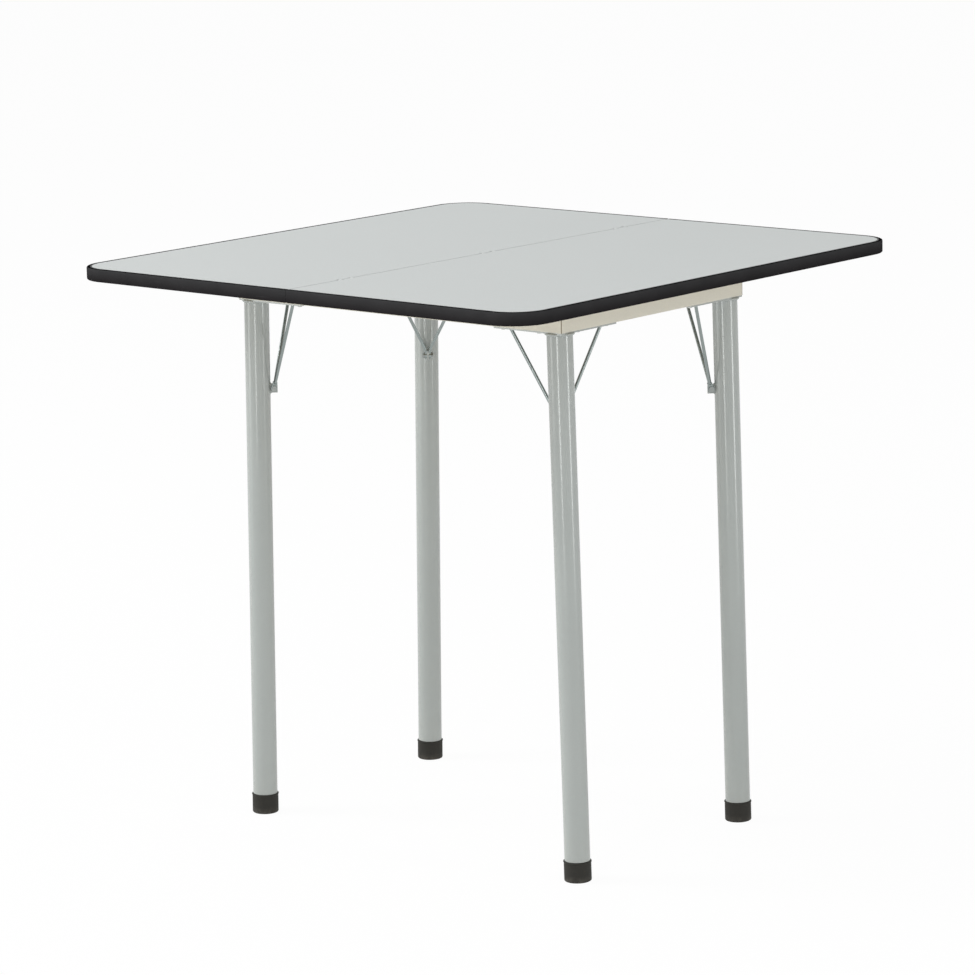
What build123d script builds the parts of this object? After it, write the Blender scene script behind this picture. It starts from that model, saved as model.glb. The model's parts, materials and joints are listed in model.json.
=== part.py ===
# Fold-over table. Two equal leaves meet at a seam along Y and are joined by link
# hinges. The right leaf turns a quarter turn on a pivot in the base, and the left
# leaf folds over onto it. The base is a narrow apron frame on four splayed tube legs.
# The pivot lies where a quarter turn brings the right leaf over the middle of the base.
# Frame: X across the seam, Y along it, Z up, origin on the floor under the centre.
import os
from math import atan, degrees, sqrt

from build123d import *

# Top
table_height = 740.0
top_length = 735.0
top_width = 755.0
corner_radius = 48.0
core_thickness = 14.5
laminate_thickness = 0.8
backing_thickness = 0.7
band_thickness = 4.5
seam_band_thickness = 3.0
edge_round = 1.6
seam_round = 1.8
seam_gap = 0.4

# Link hinges in the seam
hinge_count = 3
hinge_pitch = 270.0
hinge_length = 50.0
link_slot = 6.0
link_spacing = 20.0
link_side_clearance = 0.3
link_top_clearance = 0.05
pin_inset = 2.0
pin_depth = 2.0
pin_radius = 0.6
pin_running_clearance = 0.05
knuckle_radius = 1.1
flap_thickness = 1.5
flap_floor = 2.3
hinge_screw_edge = 8.0
hinge_screw_radius = 1.2
hinge_screw_head_radius = 2.4
hinge_screw_length = 14.0
mortise_clearance = 0.2

# Apron frame
apron_length = 531.0
apron_width = 363.0
apron_height = 39.0
apron_thickness = 18.0
corner_block_leg = 55.0
corner_block_height = 30.0
pad_radius = 8.0
pad_height = 1.8
pad_clearance = 0.2
long_pad_places = (-200.0, -70.0, 70.0, 200.0)
end_pad_places = (-80.0, 80.0)

# Swivel
rail_wall = 8.6
rail_thickness = 20.0
rail_housing = 6.0
swivel_plate_size = 90.0
swivel_plate_thickness = 3.0
swivel_plate_corner = 8.0
swivel_screw_edge = 12.0
swivel_screw_radius = 2.0
swivel_screw_head_radius = 4.0
swivel_screw_length = 14.0
bolt_radius = 5.0
bolt_head_radius = 8.0
bolt_tail = 3.0
bush_wall = 3.0
bush_flange_radius = 14.0
bush_flange_thickness = 1.0
bush_running_clearance = 0.05
washer_radius = 11.0
washer_thickness = 2.0
nut_across_flats = 17.0
nut_height = 8.0
stop_edge = 7.0
stop_pin_radius = 3.0
stop_pin_reach = 7.0
stop_clearance = 0.4

# Legs
tube_radius = 16.0
tube_wall = 1.5
leg_splay = 13.8
foot_overhang = 1.0
foot_height = 26.0
foot_spigot = 20.0
foot_rim_round = 1.2
foot_sole_round = 2.0
leg_plate_thickness = 2.0
leg_plate_reach = 106.0
leg_plate_arm = 30.0
leg_plate_inset = 0.4
plate_screw_gap = 10.0
plate_screw_edge = 8.0
plate_screw_radius = 2.2
plate_screw_head_radius = 4.0
plate_screw_head_height = 2.2
plate_screw_length = 24.0

# Braces
brace_drop = 116.0
brace_edge = 20.0
brace_rod_radius = 2.1
brace_eye_radius = 4.2
brace_eye_thickness = 2.5
brace_flat_length = 7.5
brace_flat_width = 6.0
brace_knee_swell = 0.3
lug_offset = 4.6
lug_length = 9.0
lug_thickness = 3.0
lug_height = 12.0
brace_bolt_radius = 1.8
brace_bolt_head_radius = 3.2
brace_bolt_head_height = 2.2
brace_nut_across_flats = 6.0
brace_nut_height = 3.0

# Driver slots in the screw heads
drive_share = 0.65
drive_width = 0.7
drive_depth = 0.9

# Levels and places that follow from the sizes above
leaf_thickness = core_thickness + laminate_thickness + backing_thickness
leaf_under = table_height - leaf_thickness
core_under = leaf_under + backing_thickness
core_top = table_height - laminate_thickness
apron_top = leaf_under - pad_clearance - pad_height
apron_bottom = apron_top - apron_height
plate_under = apron_bottom - leg_plate_thickness
seam_half = seam_gap / 2
leaf_middle = top_length / 4
pivot_x = leaf_middle / 2
pivot_y = -leaf_middle / 2
swivel_plate_under = leaf_under - swivel_plate_thickness
swivel_screw_spacing = swivel_plate_size - 2 * swivel_screw_edge
stop_radius = swivel_plate_size / 2 - stop_edge
rail_width = 2 * (stop_radius + stop_pin_radius + stop_clearance + rail_wall)
rail_top = swivel_plate_under - bush_flange_thickness
rail_bottom = rail_top - rail_thickness
inner_length = apron_length - 2 * apron_thickness
inner_width = apron_width - 2 * apron_thickness
half_length = apron_length / 2
half_width = apron_width / 2
pin_x = seam_half + pin_inset
pin_z = table_height - pin_depth
link_radius = pin_depth - link_top_clearance
link_floor = pin_z - link_radius - mortise_clearance
flap_far = pin_x + knuckle_radius
flap_near = flap_far - flap_thickness
flap_bottom = core_under + flap_floor
hinge_screw_spacing = hinge_length - 2 * hinge_screw_edge
leg_top_x = half_length - tube_radius
leg_top_y = half_width - tube_radius
foot_radius = tube_radius + foot_overhang
plate_screw_places = (2 * tube_radius + plate_screw_gap, leg_plate_reach - plate_screw_edge)
brace_reach = leg_plate_reach - tube_radius - brace_edge
inward = Vector(-1, 1, 0).normalized()
across = Vector(1, 1, 0).normalized()
hinge_places = [hinge_pitch * (i - (hinge_count - 1) / 2) for i in range(hinge_count)]
spare = 10.0
far = 2 * (table_height + top_length)

parts = {}


def block(x0, x1, y0, y1, z0, z1):
    """Box between two corners."""
    middle = Pos((x0 + x1) / 2, (y0 + y1) / 2, (z0 + z1) / 2)
    return middle * Box(x1 - x0, y1 - y0, z1 - z0)


def rod(start, end, radius):
    """Round bar from one point to another."""
    path = Vector(*end) - Vector(*start)
    place = Plane(origin=start, z_dir=path)
    return place * Cylinder(radius, path.length, align=(Align.CENTER, Align.CENTER, Align.MIN))


def cone(start, end, start_radius, end_radius):
    """Tapered bar from one point to another."""
    path = Vector(*end) - Vector(*start)
    place = Plane(origin=start, z_dir=path)
    taper = Cone(start_radius, end_radius, path.length, align=(Align.CENTER, Align.CENTER, Align.MIN))
    return place * taper


def hexagon(start, end, across_flats):
    """Six-sided bar from one point to another."""
    path = Vector(*end) - Vector(*start)
    outline = RegularPolygon(across_flats / sqrt(3), 6)
    return extrude(Plane(origin=start, z_dir=path) * outline, path.length)


def prism(points, z0, z1):
    """Upright solid on a plan outline."""
    plan = make_face(Polyline(*points, close=True))
    return extrude(Pos(0, 0, z0) * plan, z1 - z0)


def countersunk(start, end, radius, head_radius):
    """Countersunk wood screw, its flat head at start and its point at end."""
    path = Vector(*end) - Vector(*start)
    along = path.normalized()
    neck = Vector(*start) + along * (head_radius - radius)
    tip = Vector(*end) - along * radius * 2
    head = cone(start, neck, head_radius, radius)
    point = cone(tip, end, radius, radius / 4)
    return head + rod(neck, tip, radius) + point


def with_drive(screw, along):
    """The screw with a crossed driver slot in the flat of its head."""
    flats = screw.faces().filter_by(GeomType.PLANE)
    head = flats.sort_by(Axis((0, 0, 0), along))[0]
    arm = 2 * drive_share * head.edges().filter_by(GeomType.CIRCLE)[0].radius
    deep = 2 * drive_depth
    cross = Box(arm, drive_width, deep) + Box(drive_width, arm, deep)
    return screw - Plane(origin=head.center(), z_dir=along) * cross


def swap_x(piece):
    """The same piece on the other side of the seam."""
    return mirror(piece, about=Plane.YZ)


def leaf_plan(inset, seam_inset):
    """Right leaf from above: square at the seam, round at the two outer corners."""
    near = seam_half + seam_inset
    rim = top_length / 2 - inset
    depth = top_width - 2 * inset
    plan = Pos((near + rim) / 2, 0) * Rectangle(rim - near, depth)
    outer_corners = plan.vertices().sort_by(Axis.X)[-2:]
    return fillet(outer_corners, corner_radius - inset)


def leaf_slab():
    """Whole right leaf with its edges rounded over at the rim and at the seam."""
    slab = extrude(Pos(0, 0, leaf_under) * leaf_plan(0, 0), leaf_thickness)
    flat_edges = slab.faces().filter_by(Axis.Z).edges()
    rim = [edge for edge in flat_edges if edge.center().X > seam_half + edge_round]
    slab = fillet(rim, edge_round)
    half = top_width / 2 + spare
    bar = block(seam_half, top_length / 2 + spare, -half, half, leaf_under, table_height)
    seam_edges = bar.edges().filter_by(Axis.Y).sort_by(Axis.X)[:2]
    return slab & fillet(seam_edges, seam_round)


def hinge_mortise(y):
    """Room for one hinge plate in the seam edge of the right leaf, under the laminate."""
    reach = hinge_length / 2 + mortise_clearance
    return block(seam_half - spare, flap_far, y - reach, y + reach, flap_bottom, core_top)


def link_opening(y):
    """Slot in the right leaf, open at the top, in which a link plate lies and swings up."""
    reach = pin_x + link_radius + mortise_clearance
    half = link_slot / 2
    return block(-spare, reach, y - half, y + half, link_floor, table_height + spare)


def hinge_screw(y):
    """Screw through the flap into the core."""
    z = (flap_bottom + pin_z - knuckle_radius) / 2
    start = (flap_near, y, z)
    end = (flap_near + hinge_screw_length, y, z)
    return countersunk(start, end, hinge_screw_radius, hinge_screw_head_radius)


def hinge_screws(y):
    """The two screws of one hinge plate."""
    return [hinge_screw(y + side * hinge_screw_spacing / 2) for side in (-1, 1)]


def link_places(y):
    """Middles of the two link plates of one hinge."""
    return [y + side * link_spacing / 2 for side in (-1, 1)]


def hinge_pin(y):
    """Pin of one hinge in the right leaf."""
    half = hinge_length / 2
    return rod((pin_x, y - half, pin_z), (pin_x, y + half, pin_z), pin_radius)


def hinge_plate(y):
    """Flap and knuckles of one hinge, with gaps for the link plates."""
    half = hinge_length / 2
    knuckle = rod((pin_x, y - half, pin_z), (pin_x, y + half, pin_z), knuckle_radius)
    flap = block(flap_near, flap_far, y - half, y + half, flap_bottom, pin_z)
    plate = flap + knuckle
    for place in link_places(y):
        plate -= link_opening(place)
    plate -= hinge_pin(y)
    for screw in hinge_screws(y):
        plate -= screw
    return plate


def hinge_link(y):
    """Link plate from the right pin to the left pin, its flat top level with the laminate."""
    half = link_slot / 2 - link_side_clearance
    bar = block(-pin_x, pin_x, y - half, y + half, pin_z - link_radius, pin_z + link_radius)
    for side in (-1, 1):
        bar += rod((side * pin_x, y - half, pin_z), (side * pin_x, y + half, pin_z), link_radius)
    hole_radius = pin_radius + pin_running_clearance
    for side in (-1, 1):
        bar -= rod((side * pin_x, y - half, pin_z), (side * pin_x, y + half, pin_z), hole_radius)
    return bar


def add_leaves():
    """Board, sheets, edging and hinge halves of both leaves."""
    slab = leaf_slab()
    inner = leaf_plan(band_thickness, seam_band_thickness)
    core = extrude(Pos(0, 0, core_under) * inner, core_thickness)
    laminate = extrude(Pos(0, 0, core_top) * inner, laminate_thickness)
    backing = extrude(Pos(0, 0, leaf_under) * inner, backing_thickness)
    ring = slab - extrude(Pos(0, 0, leaf_under) * inner, leaf_thickness)
    seam_side = seam_half + seam_band_thickness
    between = top_width / 2 - band_thickness
    strip = block(-spare, seam_side, -between, between, leaf_under - spare, table_height + spare)
    skin = block(-spare, seam_side, -between, between, core_top, table_height + spare)
    edge_band = ring - strip
    seam_band = (ring & strip) - skin
    laminate += slab & skin
    screws = []
    for y in hinge_places:
        mortise = hinge_mortise(y)
        core -= mortise
        seam_band -= mortise
        for place in link_places(y):
            laminate -= link_opening(place)
            core -= link_opening(place)
        screws += hinge_screws(y)
    for screw in screws:
        core -= screw
    pieces = {
        "leaf_laminate": [laminate],
        "leaf_edge_band": [edge_band],
        "leaf_seam_band": [seam_band],
        "hinge_plates": [hinge_plate(y) for y in hinge_places],
        "hinge_pins": [hinge_pin(y) for y in hinge_places],
        "hinge_screws": [with_drive(screw, (1, 0, 0)) for screw in screws],
    }
    for name, solids in pieces.items():
        parts["right_" + name] = solids
        parts["left_" + name] = [swap_x(solid) for solid in solids]
    parts["left_leaf_core"] = [swap_x(core)]
    parts["left_leaf_backing"] = [swap_x(backing)]
    fixings = swivel_screws()
    for screw in fixings:
        core -= screw
        backing -= screw
    parts["right_leaf_core"] = [core]
    parts["right_leaf_backing"] = [backing]
    parts["hinge_links"] = [hinge_link(place) for y in hinge_places for place in link_places(y)]


def swivel_screws():
    """Four screws that hold the swivel plate under the right leaf."""
    half = swivel_screw_spacing / 2
    screws = []
    for side_x in (-1, 1):
        for side_y in (-1, 1):
            x = pivot_x + side_x * half
            y = pivot_y + side_y * half
            low = (x, y, swivel_plate_under)
            high = (x, y, swivel_plate_under + swivel_screw_length)
            screws.append(countersunk(low, high, swivel_screw_radius, swivel_screw_head_radius))
    return screws


def pivot_bar(radius, low, high):
    """Round bar on the pivot line."""
    return rod((pivot_x, pivot_y, low), (pivot_x, pivot_y, high), radius)


def stop_groove():
    """Quarter-circle groove round the pivot, with room for the stop pin."""
    floor = leaf_under - swivel_plate_thickness - stop_pin_reach - stop_clearance
    width = stop_pin_radius + stop_clearance
    ring = pivot_bar(stop_radius + width, floor, rail_top) - pivot_bar(stop_radius - width, floor, rail_top)
    quarter = block(
        pivot_x, pivot_x + 2 * stop_radius, pivot_y, pivot_y + 2 * stop_radius, floor, rail_top
    )
    groove = ring & quarter
    for end in ((pivot_x + stop_radius, pivot_y), (pivot_x, pivot_y + stop_radius)):
        groove += rod((*end, floor), (*end, rail_top), width)
    return groove


def add_swivel():
    """Plate, bolt and stop under the right leaf, and the rail and bush that carry them."""
    half = swivel_plate_size / 2
    plate = block(
        pivot_x - half, pivot_x + half, pivot_y - half, pivot_y + half, swivel_plate_under, leaf_under
    )
    plate = fillet(plate.edges().filter_by(Axis.Z), swivel_plate_corner)
    washer_bottom = rail_bottom - washer_thickness
    nut_bottom = washer_bottom - nut_height
    head = cone(
        (pivot_x, pivot_y, leaf_under),
        (pivot_x, pivot_y, swivel_plate_under),
        bolt_head_radius,
        bolt_radius,
    )
    bolt = head + pivot_bar(bolt_radius, nut_bottom - bolt_tail, swivel_plate_under)
    stop_low = (pivot_x + stop_radius, pivot_y, swivel_plate_under - stop_pin_reach)
    stop_high = (pivot_x + stop_radius, pivot_y, leaf_under)
    stop = rod(stop_low, stop_high, stop_pin_radius)
    screws = swivel_screws()
    for piece in (head, stop, *screws):
        plate -= piece
    washer = pivot_bar(washer_radius, washer_bottom, rail_bottom)
    washer -= pivot_bar(bolt_radius, washer_bottom, rail_bottom)
    nut = hexagon((pivot_x, pivot_y, nut_bottom), (pivot_x, pivot_y, washer_bottom), nut_across_flats)
    nut -= pivot_bar(bolt_radius, nut_bottom, washer_bottom)
    parts["swivel_plate"] = [plate]
    parts["swivel_plate_screws"] = [with_drive(screw, (0, 0, 1)) for screw in screws]
    parts["pivot_bolt"] = [bolt]
    parts["pivot_washer"] = [washer]
    parts["pivot_nut"] = [nut]
    parts["stop_pin"] = [stop]

    bush_bore = bolt_radius + bush_running_clearance
    bush_radius = bush_bore + bush_wall
    bush = pivot_bar(bush_radius, rail_bottom, rail_top)
    bush += pivot_bar(bush_flange_radius, rail_top, swivel_plate_under)
    bush -= pivot_bar(bush_bore, rail_bottom, swivel_plate_under)
    parts["pivot_bush"] = [bush]
    rail = rail_board() - pivot_bar(bush_radius, rail_bottom, rail_top) - stop_groove()
    parts["pivot_rail"] = [rail]


def rail_board():
    """Cross rail under the pivot, its ends housed in the long aprons."""
    half_rail = inner_width / 2 + rail_housing
    left = pivot_x - rail_width / 2
    return block(left, left + rail_width, -half_rail, half_rail, rail_bottom, rail_top)


def add_aprons():
    """Four boards mitred at the corners, glue blocks inside and pads on top."""
    outer_x, outer_y = half_length, half_width
    inner_x, inner_y = inner_length / 2, inner_width / 2
    long_plan = [(-outer_x, -outer_y), (outer_x, -outer_y), (inner_x, -inner_y), (-inner_x, -inner_y)]
    end_plan = [(outer_x, -outer_y), (outer_x, outer_y), (inner_x, inner_y), (inner_x, -inner_y)]
    end_apron = prism(end_plan, apron_bottom, apron_top)
    long_apron = prism(long_plan, apron_bottom, apron_top)
    aprons = {
        "front": long_apron,
        "back": mirror(long_apron, about=Plane.XZ),
        "right": end_apron,
        "left": swap_x(end_apron),
    }
    screws = [copy for screw in front_right_screws() for copy in four_corners(screw)]
    rail = rail_board()
    for name, apron in aprons.items():
        apron -= rail
        for screw in screws:
            apron -= screw
        parts[name + "_apron"] = [apron]
    corner = (inner_x, -inner_y)
    block_plan = [
        corner,
        (corner[0], corner[1] + corner_block_leg),
        (corner[0] - corner_block_leg, corner[1]),
    ]
    glue_block = prism(block_plan, apron_bottom, apron_bottom + corner_block_height)
    parts["corner_blocks"] = four_corners(glue_block)
    long_line = half_width - apron_thickness / 2
    end_line = half_length - apron_thickness / 2
    places = [(x, side * long_line) for x in long_pad_places for side in (-1, 1)]
    places += [(side * end_line, y) for y in end_pad_places for side in (-1, 1)]
    parts["glide_pads"] = [
        rod((x, y, apron_top), (x, y, apron_top + pad_height), pad_radius) for x, y in places
    ]


def on_corner(piece, side_x, side_y):
    """A front right piece moved to another corner by mirroring."""
    if side_x < 0:
        piece = swap_x(piece)
    if side_y > 0:
        piece = mirror(piece, about=Plane.XZ)
    return piece


def four_corners(piece):
    """A front right piece repeated at all four corners."""
    return [on_corner(piece, x, y) for x in (1, -1) for y in (-1, 1)]


def leg_axis(z):
    """Point on the front right leg's centre line at height z."""
    share = (plate_under - z) / plate_under
    return Vector(leg_top_x + share * leg_splay, -leg_top_y, z)


def front_right_tube():
    """Tube from the corner plate down to the foot, cut level under the plate."""
    along = (leg_axis(0) - leg_axis(plate_under)).normalized()
    low = leg_axis(foot_height)
    high = leg_axis(plate_under) - along * spare
    tube = rod(low, high, tube_radius) - rod(low, high, tube_radius - tube_wall)
    return tube - block(-far, far, -far, far, plate_under, plate_under + far)


def front_right_foot():
    """Foot under the tube end, its spigot inside the tube and its sole level on the floor."""
    joint = leg_axis(foot_height)
    along = (leg_axis(0) - joint).normalized()
    sole = joint + along * (foot_height + foot_radius * leg_splay / plate_under)
    head = rod(sole, joint, foot_radius)
    rims = head.edges().filter_by(GeomType.CIRCLE).sort_by(Axis.Z)
    head = fillet(rims[-1], foot_rim_round)
    rims = head.edges().filter_by(GeomType.CIRCLE).sort_by(Axis.Z)
    head = fillet(rims[0], foot_sole_round)
    foot = head + rod(joint, joint - along * foot_spigot, tube_radius - tube_wall)
    return foot - block(-far, far, -far, far, -far, 0)


def front_right_plate():
    """Thin steel corner plate under the apron."""
    x = half_length - leg_plate_inset
    y = -half_width + leg_plate_inset
    reach, arm = leg_plate_reach, leg_plate_arm
    plan = [
        (x, y),
        (x, y + reach),
        (x - arm, y + reach),
        (x - reach, y + arm),
        (x - reach, y),
    ]
    return prism(plan, plate_under, apron_bottom)


def plate_screw(x, y):
    """Round-headed screw up through the plate into the apron."""
    head_bottom = plate_under - plate_screw_head_height
    head = cone((x, y, head_bottom), (x, y, plate_under), plate_screw_radius, plate_screw_head_radius)
    shank = rod((x, y, plate_under), (x, y, plate_under + plate_screw_length), plate_screw_radius)
    return head + shank


def front_right_screws():
    """Four screws of one corner plate, two in each apron."""
    line = apron_thickness / 2
    screws = []
    for place in plate_screw_places:
        screws.append(plate_screw(half_length - line, -half_width + place))
        screws.append(plate_screw(half_length - place, -half_width + line))
    return screws


def brace_middle():
    """Bolt centre of the brace, out from the leg towards the middle of the table."""
    return leg_axis(plate_under - brace_drop) + inward * (tube_radius + lug_offset)


def front_right_lug():
    """Upright fin welded to the inner side of the leg, with the bolt hole."""
    middle = brace_middle()
    axis = leg_axis(plate_under - brace_drop)
    centre = axis + inward * (tube_radius + lug_length) / 2
    face = Plane(origin=centre, x_dir=inward, z_dir=(0, 0, 1))
    fin = face * Box(tube_radius + lug_length, lug_thickness, lug_height)
    fin -= rod(leg_axis(foot_height), leg_axis(plate_under), tube_radius)
    return fin - rod(middle - across * lug_thickness, middle + across * lug_thickness, brace_bolt_radius)


def front_right_brace(side, top):
    """Rod from the corner plate, flattened at its lower end into an eye on one side of the lug."""
    out = across * side
    face = brace_middle() + out * lug_thickness / 2
    centre = face + out * brace_eye_thickness / 2
    path = Vector(*top) - centre
    along = (path - out * path.dot(out)).normalized()
    knee = centre + along * brace_flat_length
    past_top = Vector(*top) + (Vector(*top) - knee).normalized() * spare
    flat = Plane(origin=(centre + knee) / 2, x_dir=along, z_dir=out)
    brace = rod(face, face + out * brace_eye_thickness, brace_eye_radius)
    brace += flat * Box(brace_flat_length, brace_flat_width, brace_eye_thickness)
    brace += Pos(knee) * Sphere(brace_rod_radius + brace_knee_swell)
    brace += rod(knee, past_top, brace_rod_radius)
    brace &= rod(face, face + out * far, far)
    brace -= block(-far, far, -far, far, plate_under, plate_under + far)
    return brace - rod(face, face + out * brace_eye_thickness, brace_bolt_radius)


def front_right_bolt():
    """Bolt through the lug and both eyes, and the nut on its far side."""
    middle = brace_middle()
    stack = lug_thickness / 2 + brace_eye_thickness
    under_head = middle + across * stack
    under_nut = middle - across * stack
    tail = under_nut - across * brace_nut_height
    head = rod(under_head, under_head + across * brace_bolt_head_height, brace_bolt_head_radius)
    bolt = head + rod(tail, under_head, brace_bolt_radius)
    nut = hexagon(tail, under_nut, brace_nut_across_flats) - rod(tail, under_nut, brace_bolt_radius)
    return bolt, nut


def add_legs():
    """Four legs with their plates, feet, braces and fasteners."""
    screws = front_right_screws()
    plate = front_right_plate()
    for screw in screws:
        plate -= screw
    bolt, nut = front_right_bolt()
    line = apron_thickness / 2
    long_top = (leg_top_x - brace_reach, -half_width + line, plate_under)
    end_top = (half_length - line, -leg_top_y + brace_reach, plate_under)
    pieces = {
        "leg_tube": front_right_tube(),
        "leg_plate": plate,
        "leg_foot": front_right_foot(),
        "brace_lug": front_right_lug(),
        "long_brace_rod": front_right_brace(-1, long_top),
        "end_brace_rod": front_right_brace(1, end_top),
    }
    for side_x, name_x in ((1, "right"), (-1, "left")):
        for side_y, name_y in ((-1, "front"), (1, "back")):
            for name, piece in pieces.items():
                parts[f"{name_y}_{name_x}_{name}"] = [on_corner(piece, side_x, side_y)]
    driven = [with_drive(screw, (0, 0, 1)) for screw in screws]
    parts["leg_plate_screws"] = [copy for screw in driven for copy in four_corners(screw)]
    parts["brace_bolts"] = four_corners(bolt)
    parts["brace_nuts"] = four_corners(nut)


def save(name, pieces):
    """Write one node, a single solid or a group of separate solids."""
    solids = [solid for piece in pieces for solid in piece.solids()]
    shape = solids[0] if len(solids) == 1 else Compound(children=solids)
    export_step(shape, f"parts/{name}.step")


os.makedirs("parts", exist_ok=True)
add_leaves()
add_legs()
add_aprons()
add_swivel()
for part_name, part_pieces in parts.items():
    save(part_name, part_pieces)
print(len(parts), "nodes; leg leans", round(degrees(atan(leg_splay / plate_under)), 2), "degrees")
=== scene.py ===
# %% [markdown]
# # Dressing a fold-over table
# The solids already hold every main shape of this table: two leaves that meet at a seam,
# a narrow apron frame, four tube legs with rod braces, and a black foot on each leg.
# What is left for Blender is what an eye notices next: pale laminate, black edging,
# grey enamel with thin bright lines, the welds on the legs and the lips of the feet.
# We load the solids as a fixed frame and never move them. The new pieces are placed
# by measuring the solids, so they sit where the solids say.

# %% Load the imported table
import json
import math

import bpy
import numpy as np
from mathutils import Matrix, Vector

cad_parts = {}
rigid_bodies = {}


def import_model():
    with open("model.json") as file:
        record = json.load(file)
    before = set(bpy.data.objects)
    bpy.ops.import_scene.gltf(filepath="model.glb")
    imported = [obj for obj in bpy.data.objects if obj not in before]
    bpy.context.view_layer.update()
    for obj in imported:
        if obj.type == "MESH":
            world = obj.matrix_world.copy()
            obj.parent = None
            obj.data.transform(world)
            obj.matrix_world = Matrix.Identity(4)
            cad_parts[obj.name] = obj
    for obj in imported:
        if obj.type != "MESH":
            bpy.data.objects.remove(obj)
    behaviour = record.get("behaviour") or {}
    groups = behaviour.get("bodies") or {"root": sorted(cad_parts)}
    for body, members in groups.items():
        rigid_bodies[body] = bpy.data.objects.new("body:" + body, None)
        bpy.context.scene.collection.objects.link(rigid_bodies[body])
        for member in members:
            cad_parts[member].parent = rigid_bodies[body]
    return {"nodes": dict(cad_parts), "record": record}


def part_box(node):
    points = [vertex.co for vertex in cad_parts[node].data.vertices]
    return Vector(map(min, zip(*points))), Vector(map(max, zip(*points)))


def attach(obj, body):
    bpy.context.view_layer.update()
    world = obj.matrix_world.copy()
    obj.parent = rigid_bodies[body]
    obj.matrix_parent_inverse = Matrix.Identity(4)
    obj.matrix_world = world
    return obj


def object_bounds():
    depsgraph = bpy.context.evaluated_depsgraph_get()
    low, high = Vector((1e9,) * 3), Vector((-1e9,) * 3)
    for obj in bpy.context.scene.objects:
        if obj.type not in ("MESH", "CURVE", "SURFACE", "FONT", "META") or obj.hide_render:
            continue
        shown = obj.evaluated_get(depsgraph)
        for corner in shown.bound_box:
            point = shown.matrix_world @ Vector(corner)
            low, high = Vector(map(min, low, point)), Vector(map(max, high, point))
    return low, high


for startup_object in list(bpy.data.objects):
    bpy.data.objects.remove(startup_object)
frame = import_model()
cad_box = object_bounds()
nodes = frame["nodes"]
scene = bpy.context.scene
print(len(nodes), "solid nodes; box", [round(x, 4) for x in (*cad_box[0], *cad_box[1])])

# %% [markdown]
# ## The camera
# The picture was taken from the right front corner, from above the top, with a long
# lens that hardly narrows the far legs. A camera could be placed by eye, but here its
# turn, height and distance were solved from the corners of the top and the four feet.
# The view direction comes from an azimuth and an elevation, as on a globe, and a
# small roll about that direction levels the picture.

# %% Set the camera
CAMERA_AZIMUTH = math.radians(40.271)
CAMERA_ELEVATION = math.radians(11.322)
CAMERA_ROLL = math.radians(-1.248)
CAMERA_DISTANCE = 5.1161
AIM_SIDEWAYS = -0.0071
AIM_HEIGHT = 0.4358
LENS_MM = 147.25
SENSOR_MM = 36.0


def direction(azimuth, elevation):
    """Unit vector from the table to a place at that azimuth and elevation, in radians."""
    level = math.cos(elevation)
    return Vector((math.sin(azimuth) * level, -math.cos(azimuth) * level, math.sin(elevation)))


def facing(back, roll):
    """Turn whose third axis is back and whose first is level, then rolled about back."""
    right = Vector((0, 0, 1)).cross(back).normalized()
    up = back.cross(right)
    rolled_right = math.cos(roll) * right + math.sin(roll) * up
    rolled_up = math.cos(roll) * up - math.sin(roll) * right
    return Matrix((rolled_right, rolled_up, back)).transposed().to_4x4()


camera_back = direction(CAMERA_AZIMUTH, CAMERA_ELEVATION)
camera_right = Vector((math.cos(CAMERA_AZIMUTH), math.sin(CAMERA_AZIMUTH), 0))
camera_aim = AIM_SIDEWAYS * camera_right + Vector((0, 0, AIM_HEIGHT))
camera = bpy.data.objects.new("camera", bpy.data.cameras.new("camera"))
camera.data.lens = LENS_MM
camera.data.sensor_width = SENSOR_MM
camera.matrix_world = (
    Matrix.Translation(camera_aim + CAMERA_DISTANCE * camera_back) @ facing(camera_back, CAMERA_ROLL)
)
scene.collection.objects.link(camera)
scene.camera = camera
scene.view_settings.view_transform = "Standard"
print("camera at", [round(x, 3) for x in camera.matrix_world.translation])

# %% [markdown]
# ## Helpers for node trees
# Every finish below is a small network of nodes. Adding nodes one by one takes three lines
# each, so one helper adds a node, sets it up and wires it. A value that is a socket
# becomes a link, and any other value fills the input.

# %% Node helpers
def add(tree, kind, inputs=None, **settings):
    """A new node in the tree, with its settings, and each input linked or filled in."""
    made = tree.nodes.new(kind)
    for name, value in settings.items():
        setattr(made, name, value)
    for name, value in (inputs or {}).items():
        if isinstance(value, bpy.types.NodeSocket):
            tree.links.new(value, made.inputs[name])
        else:
            made.inputs[name].default_value = value
    return made


def calc(tree, operation, first, second=0.0, third=0.0):
    """One step of arithmetic on values."""
    return add(tree, "ShaderNodeMath", {0: first, 1: second, 2: third}, operation=operation).outputs[0]


def remap(tree, value, low, high, to_low, to_high):
    """Straight line that takes low to to_low and high to to_high, held level outside."""
    ends = {"Value": value, "From Min": low, "From Max": high, "To Min": to_low, "To Max": to_high}
    return add(tree, "ShaderNodeMapRange", ends).outputs[0]


def mix_colours(tree, share, first, second):
    """First colour where share is 0, second where it is 1, and between them in between."""
    return add(tree, "ShaderNodeMix", {0: share, 6: first, 7: second}, data_type="RGBA").outputs[2]


def stretch(tree, vector, sizes):
    """The vector divided by sizes axis by axis, so that a pattern is that large along each axis."""
    return add(tree, "ShaderNodeVectorMath", {0: vector, 1: sizes}, operation="DIVIDE").outputs[0]


def scaled(tree, colour, factor):
    """The colour times a factor."""
    return add(tree, "ShaderNodeVectorMath", {0: colour, 3: factor}, operation="SCALE").outputs[0]


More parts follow.
